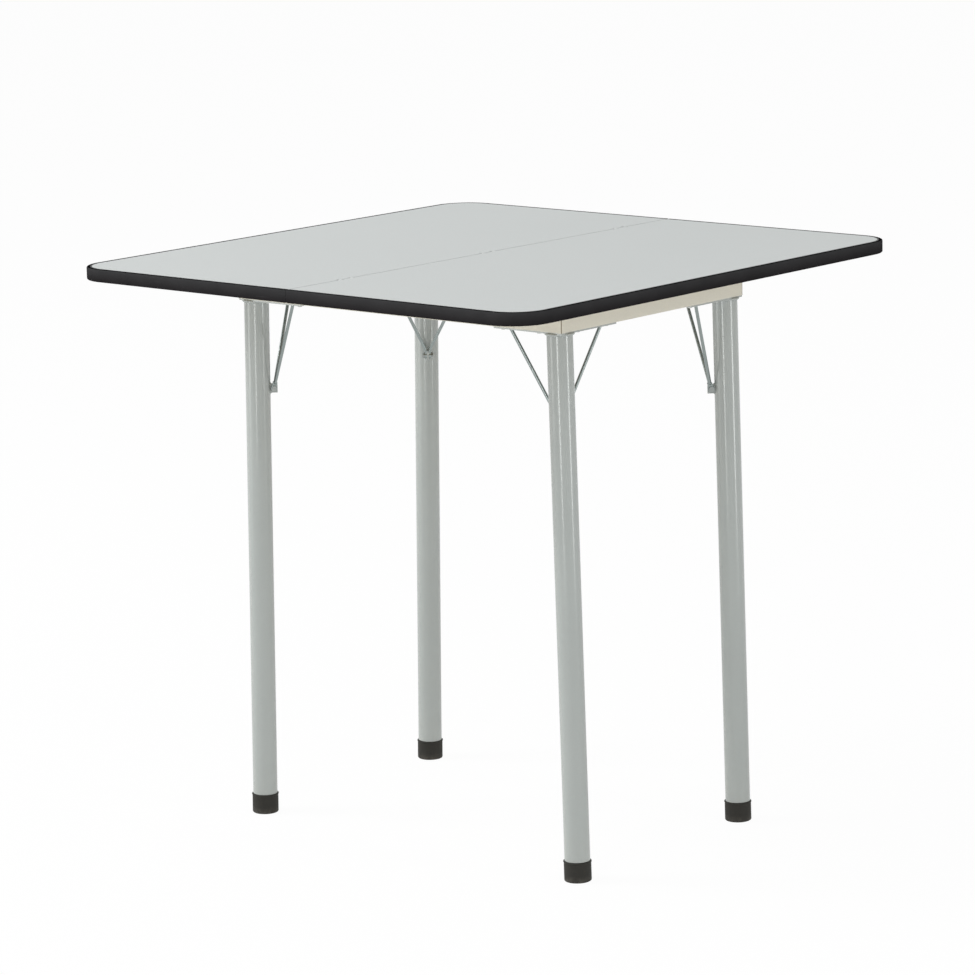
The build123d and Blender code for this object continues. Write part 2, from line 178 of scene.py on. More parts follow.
def paint(red, green, blue):
    """Screen colour from 0 to 255 as the linear colour that shaders use, by the sRGB curve."""
    screen = np.array([red, green, blue]) / 255
    linear = np.where(screen <= 0.04045, screen / 12.92, ((screen + 0.055) / 1.055) ** 2.4)
    return (*linear.tolist(), 1.0)


print("screen grey 128 as a linear value", round(paint(128, 128, 128)[0], 3))

# %% [markdown]
# ## The studio
# The table stands on a white floor that runs away into a white room. More light would
# make the floor white too, but it would bleach the table, so the floor and the room
# glow by themselves only where the camera or a mirror-like surface looks at them. Part of
# the floor's own shading stays, so the feet still have their soft shadows. Seen from
# below, the floor lets the view through, and the underside can be inspected.

# %% Build the floor and the room
ROOM_FILL = 0.485
FLOOR_GLOW = 0.96
FLOOR_REACH = 22.0
FLOOR_GREY = paint(249, 249, 249)
WHITE = (1.0, 1.0, 1.0, 1.0)


def seen_directly(tree):
    """1 for a ray that the camera, a reflection or clear glass sends out, and 0 for other rays."""
    path = tree.nodes.new("ShaderNodeLightPath").outputs
    looked = calc(tree, "MAXIMUM", path["Is Camera Ray"], path["Is Glossy Ray"])
    return calc(tree, "MAXIMUM", looked, path["Is Transmission Ray"])


def floor_paint():
    """White floor: part glow, part plain paint, and clear from below."""
    material = bpy.data.materials.new("studio_floor")
    material.use_nodes = True
    tree = material.node_tree
    tree.nodes.clear()
    share = calc(tree, "MULTIPLY", seen_directly(tree), FLOOR_GLOW)
    plain = add(tree, "ShaderNodeBsdfDiffuse", {"Color": FLOOR_GREY}).outputs[0]
    glow = add(tree, "ShaderNodeEmission", {"Color": WHITE, "Strength": 1.0}).outputs[0]
    above = add(tree, "ShaderNodeMixShader", {0: share, 1: plain, 2: glow}).outputs[0]
    below = add(tree, "ShaderNodeBsdfTransparent").outputs[0]
    behind = tree.nodes.new("ShaderNodeNewGeometry").outputs["Backfacing"]
    both = add(tree, "ShaderNodeMixShader", {0: behind, 1: above, 2: below}).outputs[0]
    add(tree, "ShaderNodeOutputMaterial", {"Surface": both})
    return material


def white_room():
    """World that is white where it is seen directly, and a softer fill for other rays."""
    world = bpy.data.worlds.new("studio_room")
    world.use_nodes = True
    tree = world.node_tree
    tree.nodes.clear()
    fill = add(tree, "ShaderNodeBackground", {"Color": WHITE, "Strength": ROOM_FILL}).outputs[0]
    seen = add(tree, "ShaderNodeBackground", {"Color": WHITE, "Strength": 1.0}).outputs[0]
    both = add(tree, "ShaderNodeMixShader", {0: seen_directly(tree), 1: fill, 2: seen}).outputs[0]
    add(tree, "ShaderNodeOutputWorld", {"Surface": both})
    return world


floor_mesh = bpy.data.meshes.new("floor")
floor_corners = FLOOR_REACH * np.array([[-1, -1, 0], [1, -1, 0], [1, 1, 0], [-1, 1, 0]])
floor_mesh.from_pydata(floor_corners.tolist(), [], [[0, 1, 2, 3]])
floor_mesh.materials.append(floor_paint())
floor = bpy.data.objects.new("floor", floor_mesh)
scene.collection.objects.link(floor)
scene.world = white_room()
print("floor of", 2 * FLOOR_REACH, "m, room fill", ROOM_FILL)

# %% [markdown]
# ## The lamps
# In the picture the left side of the legs is bright from some way below the top, and two
# thin bright lines run down the tubes. A soft box high on the left gives the first, because
# the top shades the upper legs from it. Two tall narrow strips, one left and one right of
# the camera, give the lines, because a round tube shows a strip lamp as a line, about half
# as far round as the lamp stands. A low panel on the left reaches in under the top, so the
# left sides of the rim and the apron are a little paler than the right ones. Each lamp is
# given by its brightness, and its power follows: an even panel sends out pi times
# brightness times area.

# %% Hang the lamps
LAMP_AIM = Vector((0, 0, 0.45))
LAMPS = {
    # name: (degrees right of the camera, elevation, distance m, width m, height m, brightness)
    "soft_box": (-95.0, 40.0, 6.0, 2.1, 2.1, 15.0),
    "low_panel": (-80.0, 0.5, 3.4, 1.0, 1.0, 1.9),
    "left_strip": (-22.0, 10.0, 2.6, 0.22, 2.2, 7.5),
    "right_strip": (58.0, 10.0, 2.6, 0.22, 2.2, 8.5),
}


def hang_lamp(name, turn, elevation, distance, width, height, brightness):
    """A panel lamp that faces the table from a place turned that far round from the camera."""
    data = bpy.data.lights.new(name, "AREA")
    data.shape = "RECTANGLE"
    data.size = width
    data.size_y = height
    data.energy = math.pi * brightness * width * height
    lamp = bpy.data.objects.new(name, data)
    back = direction(CAMERA_AZIMUTH + math.radians(turn), math.radians(elevation))
    lamp.matrix_world = Matrix.Translation(LAMP_AIM + distance * back) @ facing(back, 0.0)
    lamp.visible_camera = False
    scene.collection.objects.link(lamp)
    return lamp


for lamp_name, lamp_values in LAMPS.items():
    lamp = hang_lamp(lamp_name, *lamp_values)
    print(lamp_name, "of", round(lamp.data.energy, 1), "W at", [round(x, 2) for x in lamp.location])

# %% [markdown]
# ## Shared surface effects
# Real surfaces are never one flat value. Six effects bring this table to life: slow
# drifts of tone, a fine pebbled relief, hairlines from wiping or brushing, edges rubbed
# by hands, dust near the floor, and the joint line round the top. Each is a node
# group with named inputs, built once and placed in every finish that needs it.
# All of them read the piece's own coordinates, so a pattern rides with its piece.

# %% Start a node group
def new_group(name, inputs, outputs):
    """An empty group with named sockets. Inputs are (name, kind, default), outputs (name, kind)."""
    group = bpy.data.node_groups.new(name, "ShaderNodeTree")
    for socket_name, kind, default in inputs:
        kind_name = "NodeSocket" + kind
        socket = group.interface.new_socket(socket_name, in_out="INPUT", socket_type=kind_name)
        if default is not None:
            socket.default_value = default
    for socket_name, kind in outputs:
        group.interface.new_socket(socket_name, in_out="OUTPUT", socket_type="NodeSocket" + kind)
    given = group.nodes.new("NodeGroupInput").outputs
    result = group.nodes.new("NodeGroupOutput").inputs
    return group, given, result


def noise_value(tree, vector, size, detail):
    """Cloudy noise from 0 to 1 whose patches are about size metres across."""
    scale = calc(tree, "DIVIDE", 1.0, size)
    clouds = add(tree, "ShaderNodeTexNoise", {"Vector": vector, "Scale": scale, "Detail": detail})
    return clouds.outputs[0]


print("group helpers ready: new_group, noise_value")

# %% Drifts of tone
CLOUD_DETAIL = 3.0
CLOUD_SPAN = (0.3, 0.7)


def make_tone_drift():
    """Colour times one plus Strength times a noise that runs from -1 to 1."""
    group, given, result = new_group(
        "tone_drift",
        [
            ("Vector", "Vector", None),
            ("Size", "Float", 0.1),
            ("Strength", "Float", 0.05),
            ("Colour", "Color", None),
        ],
        [("Colour", "Color"), ("Drift", "Float")],
    )
    clouds = noise_value(group, given["Vector"], given["Size"], CLOUD_DETAIL)
    drift = remap(group, clouds, *CLOUD_SPAN, -1.0, 1.0)
    lift = calc(group, "MULTIPLY_ADD", drift, given["Strength"], 1.0)
    group.links.new(scaled(group, given["Colour"], lift), result["Colour"])
    group.links.new(drift, result["Drift"])
    return group


tone_drift = make_tone_drift()
print("made group", tone_drift.name)

# %% Fine pebbled relief
PEBBLE_DETAIL = 1.0
FINE_PEBBLE_RATIO = 3.0
FINE_PEBBLE_SHARE = 0.4


def make_pebbles():
    """Height as a noise of the given Size plus a share of a finer one at a third of its size."""
    group, given, result = new_group(
        "pebbles", [("Vector", "Vector", None), ("Size", "Float", 0.001)], [("Height", "Float")]
    )
    coarse = noise_value(group, given["Vector"], given["Size"], PEBBLE_DETAIL)
    finer_size = calc(group, "DIVIDE", given["Size"], FINE_PEBBLE_RATIO)
    fine = noise_value(group, given["Vector"], finer_size, PEBBLE_DETAIL)
    group.links.new(calc(group, "MULTIPLY_ADD", fine, FINE_PEBBLE_SHARE, coarse), result["Height"])
    return group


pebbles = make_pebbles()
print("made group", pebbles.name)

# %% Hairlines
HAIRLINE_DETAIL = 2.0
HAIRLINE_FADE = 0.12


def make_hairlines():
    """Noise stretched by the Stretch vector, of which only the peaks above a level stay."""
    group, given, result = new_group(
        "hairlines",
        [
            ("Vector", "Vector", None),
            ("Stretch", "Vector", (0.05, 0.001, 0.001)),
            ("Level", "Float", 0.62),
        ],
        [("Mask", "Float")],
    )
    stretched = stretch(group, given["Vector"], given["Stretch"])
    peaks = noise_value(group, stretched, 1.0, HAIRLINE_DETAIL)
    painted_dark_top_share = calc(group, "ADD", given["Level"], HAIRLINE_FADE)
    group.links.new(remap(group, peaks, given["Level"], painted_dark_top_share, 0.0, 1.0), result["Mask"])
    return group


hairlines = make_hairlines()
print("made group", hairlines.name)

# %% Rubbed edges
BEVEL_SAMPLES = 4
LEAN_SPAN = (0.98, 0.75)
RUB_SPAN = (0.4, 0.65)
RUB_LEAST = 0.15


def make_rubbed_edges():
    """How far a normal softened over Radius leans from the true one, broken up by noise."""
    group, given, result = new_group(
        "rubbed_edges",
        [("Vector", "Vector", None), ("Radius", "Float", 0.001), ("Size", "Float", 0.01)],
        [("Mask", "Float")],
    )
    soft = add(group, "ShaderNodeBevel", {"Radius": given["Radius"]}, samples=BEVEL_SAMPLES).outputs[0]
    true = group.nodes.new("ShaderNodeNewGeometry").outputs["Normal"]
    same = add(group, "ShaderNodeVectorMath", {0: soft, 1: true}, operation="DOT_PRODUCT")
    lean = remap(group, same.outputs["Value"], *LEAN_SPAN, 0.0, 1.0)
    clouds = noise_value(group, given["Vector"], given["Size"], CLOUD_DETAIL)
    broken = remap(group, clouds, *RUB_SPAN, RUB_LEAST, 1.0)
    group.links.new(calc(group, "MULTIPLY", lean, broken), result["Mask"])
    return group


rubbed_edges = make_rubbed_edges()
print("made group", rubbed_edges.name)

# %% Dust near the floor
DUST_PATCH = 0.006
DUST_SPAN = (0.35, 0.7)
DUST_LEAST = 0.2


def make_floor_dust():
    """1 at the floor, fading to 0 at Height, in patches."""
    group, given, result = new_group(
        "floor_dust", [("Vector", "Vector", None), ("Height", "Float", 0.02)], [("Mask", "Float")]
    )
    height = add(group, "ShaderNodeSeparateXYZ", {0: given["Vector"]}).outputs["Z"]
    fade = remap(group, height, 0.0, given["Height"], 1.0, 0.0)
    clouds = noise_value(group, given["Vector"], DUST_PATCH, CLOUD_DETAIL)
    patches = remap(group, clouds, *DUST_SPAN, DUST_LEAST, 1.0)
    group.links.new(calc(group, "MULTIPLY", fade, patches), result["Mask"])
    return group


floor_dust = make_floor_dust()
print("made group", floor_dust.name)

# %% [markdown]
# The joint line needs to know how near a point is to the outline of the laminate. The outline
# is a rectangle with round corners. Its distance has a neat form: shrink the rectangle
# by the corner radius, measure how far outside the point is along X and Y, and take
# the radius off again. That is zero on the outline and negative inside.

# %% Joint line round the top
def make_joint_line():
    """1 on the outline of a round-cornered rectangle, falling to 0 at Width inside it."""
    group, given, result = new_group(
        "joint_line",
        [
            ("Vector", "Vector", None),
            ("Half length", "Float", 0.36),
            ("Half width", "Float", 0.37),
            ("Corner", "Float", 0.045),
            ("Width", "Float", 0.001),
        ],
        [("Mask", "Float")],
    )
    place = add(group, "ShaderNodeSeparateXYZ", {0: given["Vector"]}).outputs
    over = []
    for axis, half in (("X", "Half length"), ("Y", "Half width")):
        straight = calc(group, "SUBTRACT", given[half], given["Corner"])
        over.append(calc(group, "SUBTRACT", calc(group, "ABSOLUTE", place[axis]), straight))
    outside = [calc(group, "MAXIMUM", value, 0.0) for value in over]
    square = calc(group, "MULTIPLY", outside[1], outside[1])
    squares = calc(group, "MULTIPLY_ADD", outside[0], outside[0], square)
    inside = calc(group, "MINIMUM", calc(group, "MAXIMUM", over[0], over[1]), 0.0)
    reach = calc(group, "ADD", calc(group, "SQRT", squares), inside)
    distance = calc(group, "SUBTRACT", reach, given["Corner"])
    start = calc(group, "MULTIPLY", given["Width"], -1.0)
    group.links.new(remap(group, distance, start, 0.0, 0.0, 1.0), result["Mask"])
    return group


joint_line = make_joint_line()
print("made group", joint_line.name)

# %% [markdown]
# ## Starting a finish
# Each finish starts from the same three things: a material, its Principled shader and the
# piece's own coordinates. Values that are the same all over, such as the strength of
# the reflection, go straight onto the shader. Only what changes over the surface is wired.
# A finish names its roughness as a pair, between which a drift or a mask moves it, and its
# relief, where it has one, as a depth in metres.

# %% Start a finish
finishes = {}


def start_finish(slot, metallic=0.0, specular=0.5):
    """A new material under the slot's name, its shader and the coordinates of its piece."""
    material = bpy.data.materials.new(slot + "_finish")
    material.use_nodes = True
    tree = material.node_tree
    shader = tree.nodes["Principled BSDF"]
    shader.inputs["Metallic"].default_value = metallic
    shader.inputs["Specular IOR Level"].default_value = specular
    finishes[slot] = material
    return tree, shader, tree.nodes.new("ShaderNodeTexCoord").outputs["Object"]


def effect(tree, group, **inputs):
    """A group placed in a material. An underscore in an input's name stands for a space."""
    named = {name.replace("_", " "): value for name, value in inputs.items()}
    return add(tree, "ShaderNodeGroup", named, node_tree=group)


def part_of(tree, mask, share):
    """A mask brought down to a share of its strength."""
    return calc(tree, "MULTIPLY", mask, share)


def by_drift(tree, placed, ends):
    """A value that follows the Drift of a placed tone_drift group from one end to the other."""
    return remap(tree, placed.outputs["Drift"], -1.0, 1.0, *ends)


def by_mask(tree, mask, ends):
    """A value that follows a mask from one end, where it is 0, to the other, where it is 1."""
    return remap(tree, mask, 0.0, 1.0, *ends)


def wire(tree, shader, **sockets):
    """Links values to the shader's inputs. An underscore in an input's name stands for a space."""
    for name, socket in sockets.items():
        tree.links.new(socket, shader.inputs[name.replace("_", " ")])


def relief(tree, height, depth):
    """A normal that is bent as if the height ran from 0 to depth metres."""
    bump = add(tree, "ShaderNodeBump", {"Strength": 1.0, "Distance": depth, "Height": height})
    return bump.outputs[0]


# %% [markdown]
# ## Grey laminate
# The top is a thin hard laminate in one pale grey. Close up it has a faint fleck and a
# pebbled press mark, which spreads reflections and keeps it from shining like glass. A thin
# dark line runs round the top where it meets the edging.

# %% Make the laminate
LAMINATE_GREY = paint(203, 207, 206)
JOINT_DARK = paint(38, 38, 39)
JOINT_WIDTH = 0.0028
JOINT_FADE = 0.4
LAMINATE_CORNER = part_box("right_leaf_laminate")[1]
TOP_CORNER_RADIUS = 0.048
BAND = cad_box[1].x - LAMINATE_CORNER.x
LAMINATE_ROUGHNESS = (0.5, 0.58)
LAMINATE_RELIEF = 0.00003


def laminate_finish():
    """Pale grey with a slow drift, a fine fleck, a dark joint line and a pebbled relief."""
    tree, shader, where = start_finish("grey_laminate", specular=0.22)
    slow = effect(tree, tone_drift, Vector=where, Size=0.22, Strength=0.008, Colour=LAMINATE_GREY)
    slow_grey = slow.outputs["Colour"]
    fleck = effect(tree, tone_drift, Vector=where, Size=0.0012, Strength=0.025, Colour=slow_grey)
    line = effect(
        tree,
        joint_line,
        Vector=where,
        Half_length=LAMINATE_CORNER.x,
        Half_width=LAMINATE_CORNER.y,
        Corner=TOP_CORNER_RADIUS - BAND,
        Width=JOINT_WIDTH,
    ).outputs["Mask"]
    dark_line_share = remap(tree, line, 0.0, JOINT_FADE, 0.0, 1.0)
    colour = mix_colours(tree, dark_line_share, fleck.outputs["Colour"], JOINT_DARK)
    rough = by_drift(tree, slow, LAMINATE_ROUGHNESS)
    press = effect(tree, pebbles, Vector=where, Size=0.0009).outputs["Height"]
    wire(tree, shader, Base_Color=colour, Roughness=rough, Normal=relief(tree, press, LAMINATE_RELIEF))


laminate_finish()
print("laminate ends", round(BAND * 1000, 2), "mm inside the rim")

# %% [markdown]
# ## Black edging
# The rim is a black plastic band, rounded over at both edges. Any glossy surface mirrors a
# white room when it is seen at a flat angle, so a shiny rim would lose the thin black outline
# on the far side of the top. This one is fully matt. Chairs leave pale hairlines along it. A
# painted highlight greys the upper part of its side, and painted shade makes the narrow flat
# that faces up blacker still.

# %% Make the edging
EDGING_BLACK = paint(35, 33, 34)
# Painted shade: the flat on top of the band is coloured blacker than the side.
EDGING_PAINTED_DARK_TOP = paint(14, 13, 14)
EDGING_SCUFF = paint(66, 66, 68)
# Painted highlight: the upper part of the side is coloured greyer, as if lit from above.
EDGING_PAINTED_SHEEN = paint(58, 58, 59)
EDGING_LOW, EDGING_HIGH = (end.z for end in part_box("right_leaf_edge_band"))
EDGING_FLAT = 0.0003
SCUFF_STRETCH = (0.03, 0.03, 0.0009)
SCUFF_SHARE = 0.35
EDGING_ROUGHNESS = (0.62, 0.74)
EDGING_RELIEF = 0.00003


def edging_finish():
    """Near black, with a painted highlight greying the upper side and painted shade on the top flat,
    faint hairlines and a fine grain.
    """
    tree, shader, where = start_finish("black_edging", specular=0.0)
    height = add(tree, "ShaderNodeSeparateXYZ", {0: where}).outputs["Z"]
    # Painted highlight greys the side towards its top, and painted shade blackens the top flat, both
    # set by height.
    painted_sheen_share = remap(tree, height, EDGING_LOW, EDGING_HIGH, 0.0, 1.0)
    side = mix_colours(tree, painted_sheen_share, EDGING_BLACK, EDGING_PAINTED_SHEEN)
    painted_dark_top_share = remap(tree, height, EDGING_HIGH - EDGING_FLAT, EDGING_HIGH, 0.0, 1.0)
    base = mix_colours(tree, painted_dark_top_share, side, EDGING_PAINTED_DARK_TOP)
    toned = effect(tree, tone_drift, Vector=where, Size=0.03, Strength=0.08, Colour=base)
    scuff = effect(tree, hairlines, Vector=where, Stretch=SCUFF_STRETCH, Level=0.66).outputs["Mask"]
    share = part_of(tree, scuff, SCUFF_SHARE)
    worn = mix_colours(tree, share, toned.outputs["Colour"], EDGING_SCUFF)
    rough = by_mask(tree, scuff, EDGING_ROUGHNESS)
    grain = effect(tree, pebbles, Vector=where, Size=0.0007).outputs["Height"]
    wire(tree, shader, Base_Color=worn, Roughness=rough, Normal=relief(tree, grain, EDGING_RELIEF))


edging_finish()
print("edging black", [round(x, 4) for x in EDGING_BLACK[:3]])

# %% [markdown]
# ## Beige apron
# The apron boards are covered in a beige paint. A roller leaves a light stipple,
# the sharp lower edges are rubbed a little paler, and where two boards meet in a mitre
# the joint shows as a thin dark line.

# %% Make the apron paint
APRON_BEIGE = paint(225, 222, 209)
APRON_RUBBED = paint(235, 232, 221)
MITRE_DARK = paint(128, 117, 98)
MITRE_WIDTH = 0.0009
MITRE_FADE = 0.3
APRON_HALF_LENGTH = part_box("right_apron")[1].x
APRON_HALF_WIDTH = -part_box("front_apron")[0].y
APRON_RUB_SHARE = 0.6
APRON_ROUGHNESS = (0.46, 0.56)
APRON_RELIEF = 0.00004


def mitre_line(tree, where):
    """1 near a corner of the frame in both directions, fading to 0 at MITRE_WIDTH from it."""
    place = add(tree, "ShaderNodeSeparateXYZ", {0: where}).outputs
    near = []
    for axis, half in (("X", APRON_HALF_LENGTH), ("Y", APRON_HALF_WIDTH)):
        away = calc(tree, "ABSOLUTE", place[axis])
        start = half - MITRE_WIDTH
        near.append(remap(tree, away, start, start + MITRE_FADE * MITRE_WIDTH, 0.0, 1.0))
    return calc(tree, "MULTIPLY", near[0], near[1])


def apron_finish():
    """Beige with a slow drift, a roller stipple, paler edges and a dark line at each mitre."""
    tree, shader, where = start_finish("beige_apron", specular=0.3)
    slow = effect(tree, tone_drift, Vector=where, Size=0.09, Strength=0.012, Colour=APRON_BEIGE)
    slow_beige = slow.outputs["Colour"]
    fine = effect(tree, tone_drift, Vector=where, Size=0.002, Strength=0.02, Colour=slow_beige)
    rubbed = effect(tree, rubbed_edges, Vector=where, Radius=0.0012, Size=0.012).outputs["Mask"]
    share = part_of(tree, rubbed, APRON_RUB_SHARE)
    worn = mix_colours(tree, share, fine.outputs["Colour"], APRON_RUBBED)
    colour = mix_colours(tree, mitre_line(tree, where), worn, MITRE_DARK)
    rough = by_drift(tree, slow, APRON_ROUGHNESS)
    stipple = effect(tree, pebbles, Vector=where, Size=0.0016).outputs["Height"]
    wire(tree, shader, Base_Color=colour, Roughness=rough, Normal=relief(tree, stipple, APRON_RELIEF))


apron_finish()
print("apron beige", [round(x, 3) for x in APRON_BEIGE[:3]])

# %% [markdown]
# ## Grey leg paint
# Tubes, corner plates and lugs share one silver-grey enamel. It holds fine metal flake,
# so it mirrors the strip lamps more than plain paint would, and it is glossy enough to
# keep their lines thin. The slight orange-peel ripple of sprayed enamel makes the lines
# a little uneven. Sharp edges show a little steel.

# %% Make the leg paint
LEG_GREY = paint(172, 177, 174)
LEG_STEEL = paint(200, 202, 200)
LEG_DUST = paint(176, 172, 160)
LEG_RUB_SHARE = 0.5
LEG_DUST_SHARE = 0.2
LEG_ROUGHNESS = (0.17, 0.21)
LEG_RELIEF = 0.00001


def leg_finish():
    """Silver grey with flake, orange peel, steel at the edges and dust near the floor."""
    tree, shader, where = start_finish("grey_paint", metallic=0.12, specular=0.5)
    slow = effect(tree, tone_drift, Vector=where, Size=0.12, Strength=0.015, Colour=LEG_GREY)
    slow_grey = slow.outputs["Colour"]
    flake = effect(tree, tone_drift, Vector=where, Size=0.0006, Strength=0.06, Colour=slow_grey)
    rubbed = effect(tree, rubbed_edges, Vector=where, Radius=0.0006, Size=0.006).outputs["Mask"]
    share = part_of(tree, rubbed, LEG_RUB_SHARE)
    worn = mix_colours(tree, share, flake.outputs["Colour"], LEG_STEEL)
    dust = effect(tree, floor_dust, Vector=where, Height=0.07).outputs["Mask"]
    colour = mix_colours(tree, part_of(tree, dust, LEG_DUST_SHARE), worn, LEG_DUST)
    rough = by_drift(tree, slow, LEG_ROUGHNESS)
    peel = effect(tree, pebbles, Vector=where, Size=0.003).outputs["Height"]
    wire(tree, shader, Base_Color=colour, Roughness=rough, Normal=relief(tree, peel, LEG_RELIEF))


leg_finish()
print("leg grey", [round(x, 3) for x in LEG_GREY[:3]])

# %% [markdown]
# ## Black rubber
# The feet are matt rubber cups. Rubber picks up floor dust, so they are paler near the sole.

# %% Make the rubber
RUBBER_BLACK = paint(46, 45, 41)
RUBBER_DUST = paint(104, 100, 92)
RUBBER_DUST_SHARE = 0.5
RUBBER_ROUGHNESS = (0.62, 0.78)
RUBBER_RELIEF = 0.00008


def rubber_finish():
    """Dark brown-black, matt, with dust at the sole and a soft grain."""
    tree, shader, where = start_finish("black_rubber", specular=0.25)
    toned = effect(tree, tone_drift, Vector=where, Size=0.004, Strength=0.12, Colour=RUBBER_BLACK)
    dust = effect(tree, floor_dust, Vector=where, Height=0.009).outputs["Mask"]
    share = part_of(tree, dust, RUBBER_DUST_SHARE)
    colour = mix_colours(tree, share, toned.outputs["Colour"], RUBBER_DUST)
    rough = by_drift(tree, toned, RUBBER_ROUGHNESS)
    grain = effect(tree, pebbles, Vector=where, Size=0.0006).outputs["Height"]
    wire(tree, shader, Base_Color=colour, Roughness=rough, Normal=relief(tree, grain, RUBBER_RELIEF))


rubber_finish()
print("rubber black", [round(x, 4) for x in RUBBER_BLACK[:3]])

# %% [markdown]
# ## Particle board
# The core of each leaf is pressed from wood chips. It shows only in the hinge mortises. A
# cell pattern gives each chip its own tone, and the cells are stretched along the board
# because chips lie flat under the press.

# %% Make the particle board
CHIP_DARK = paint(128, 94, 58)
CHIP_PALE = paint(204, 168, 120)
CHIP_SIZE = (0.004, 0.004, 0.0012)
BOARD_ROUGHNESS = (0.75, 0.9)
BOARD_RELIEF = 0.0003


def board_finish():
    """Cells a few millimetres across, each between a dark and a pale chip colour."""
    tree, shader, where = start_finish("particle_board", specular=0.2)
    flat = stretch(tree, where, CHIP_SIZE)
    chips = add(tree, "ShaderNodeTexVoronoi", {"Vector": flat, "Scale": 1.0})
    tone = add(tree, "ShaderNodeSeparateColor", {0: chips.outputs["Color"]}).outputs[0]
    colour = mix_colours(tree, tone, CHIP_DARK, CHIP_PALE)
    rough = by_mask(tree, tone, BOARD_ROUGHNESS)
    bumps = relief(tree, chips.outputs["Distance"], BOARD_RELIEF)
    wire(tree, shader, Base_Color=colour, Roughness=rough, Normal=bumps)


board_finish()
print("chips from", [round(x, 3) for x in CHIP_DARK[:3]], "to", [round(x, 3) for x in CHIP_PALE[:3]])

# %% [markdown]
# ## Backing sheet
# Under each leaf a plain tan sheet balances the laminate so that the board stays flat.
# It is impregnated paper, so short fibres show in it and it hardly shines.

# %% Make the backing sheet
BACKING_TAN = paint(173, 164, 144)
BACKING_FIBRE = paint(146, 134, 112)
FIBRE_STRETCH = (0.0025, 0.012, 0.01)
FIBRE_SHARE = 0.3
BACKING_ROUGHNESS = (0.66, 0.8)
BACKING_RELIEF = 0.00005


def backing_finish():
    """Tan paper with a slow drift and darker fibres."""
    tree, shader, where = start_finish("backing_sheet", specular=0.2)
    toned = effect(tree, tone_drift, Vector=where, Size=0.07, Strength=0.03, Colour=BACKING_TAN)
    fibre = effect(tree, hairlines, Vector=where, Stretch=FIBRE_STRETCH, Level=0.6).outputs["Mask"]
    share = part_of(tree, fibre, FIBRE_SHARE)
    colour = mix_colours(tree, share, toned.outputs["Colour"], BACKING_FIBRE)
    rough = by_mask(tree, fibre, BACKING_ROUGHNESS)
    wire(tree, shader, Base_Color=colour, Roughness=rough, Normal=relief(tree, fibre, BACKING_RELIEF))


backing_finish()
print("backing tan", [round(x, 3) for x in BACKING_TAN[:3]])

# %% [markdown]
# ## Plated steels
# Four steels are on the table. The hinges in the seam have satin plating close to the grey
# of the laminate, so their flush links hardly show. The screws and swivel parts are zinc,
# whose crystals differ in tone. The brace rods have a darker bluish plating, and their
# bolts a plain grey one. All are full metals. The zinc has its crystals in colour and
# roughness, and the others have drawing lines and brighter metal on rubbed edges.

# %% Make the plated steels
HINGE_STEEL = paint(203, 206, 205)
ZINC_PALE = paint(206, 206, 202)
BRACE_BLUISH = paint(146, 154, 152)
BOLT_GREY = paint(150, 154, 152)
STEEL_BRIGHT = paint(226, 226, 224)
STEEL_RUB_SHARE = 0.5
STEEL_RELIEF = 0.00001
SPANGLES_PER_METRE = 320.0
SPANGLE_SHADES = (0.88, 1.0)
ZINC_ROUGHNESS = (0.3, 0.44)


def steel_finish(slot, colour, line_size, roughness):
    """Metal with a fine drift, drawing lines in roughness and relief, and brighter edges."""
    tree, shader, where = start_finish(slot, metallic=1.0)
    toned = effect(tree, tone_drift, Vector=where, Size=0.004, Strength=0.05, Colour=colour)
    lines = effect(tree, hairlines, Vector=where, Stretch=line_size, Level=0.48).outputs["Mask"]
    rubbed = effect(tree, rubbed_edges, Vector=where, Radius=0.0004, Size=0.004).outputs["Mask"]
    share = part_of(tree, rubbed, STEEL_RUB_SHARE)
    shine = mix_colours(tree, share, toned.outputs["Colour"], STEEL_BRIGHT)
    rough = by_mask(tree, lines, roughness)
    wire(tree, shader, Base_Color=shine, Roughness=rough, Normal=relief(tree, lines, STEEL_RELIEF))


def zinc_finish():
    """Metal cells of a few millimetres, each with its own tone and roughness."""
    tree, shader, where = start_finish("zinc_steel", metallic=1.0)
    cells = add(tree, "ShaderNodeTexVoronoi", {"Vector": where, "Scale": SPANGLES_PER_METRE})
    tone = add(tree, "ShaderNodeSeparateColor", {0: cells.outputs["Color"]}).outputs[0]
    toned = effect(tree, tone_drift, Vector=where, Size=0.012, Strength=0.05, Colour=ZINC_PALE)
    spangle = scaled(tree, toned.outputs["Colour"], by_mask(tree, tone, SPANGLE_SHADES))
    wire(tree, shader, Base_Color=spangle, Roughness=by_mask(tree, tone, ZINC_ROUGHNESS))


DRAWN_STEELS = {
    # slot: (colour, size of a drawing line along X, Y and Z in m, roughness)
    "plated_hinge_steel": (HINGE_STEEL, (0.0006, 0.02, 0.0006), (0.36, 0.5)),
    "brace_steel": (BRACE_BLUISH, (0.0008, 0.0008, 0.03), (0.28, 0.4)),
    "dark_bolt_steel": (BOLT_GREY, (0.0008, 0.0008, 0.006), (0.34, 0.48)),
}
for slot, steel_values in DRAWN_STEELS.items():
    steel_finish(slot, *steel_values)
zinc_finish()
print("steels made:", [slot for slot in finishes if slot.endswith("steel")])

# %% [markdown]
# ## Nylon and wood under the top
# The bush and the glide pads are natural nylon, milky and smooth. The pivot rail and the glue
# blocks are plain softwood. Wood is rings seen from the side: the distance from
# a far-off heart line, wobbled by noise and stretched along the rail, gives the bands.

# %% Make the nylon and the wood
NYLON_MILK = paint(226, 222, 210)
WOOD_EARLY = paint(206, 170, 122)
WOOD_LATE = paint(184, 144, 98)
NYLON_ROUGHNESS = (0.36, 0.46)
NYLON_RELIEF = 0.00002
RING_SIZE = (0.05, 0.5, 0.05)
PORE_SIZE = (0.0008, 0.015, 0.0008)
PORE_SHARE = 0.35
WOOD_ROUGHNESS = (0.66, 0.56)
WOOD_RELIEF = 0.00008


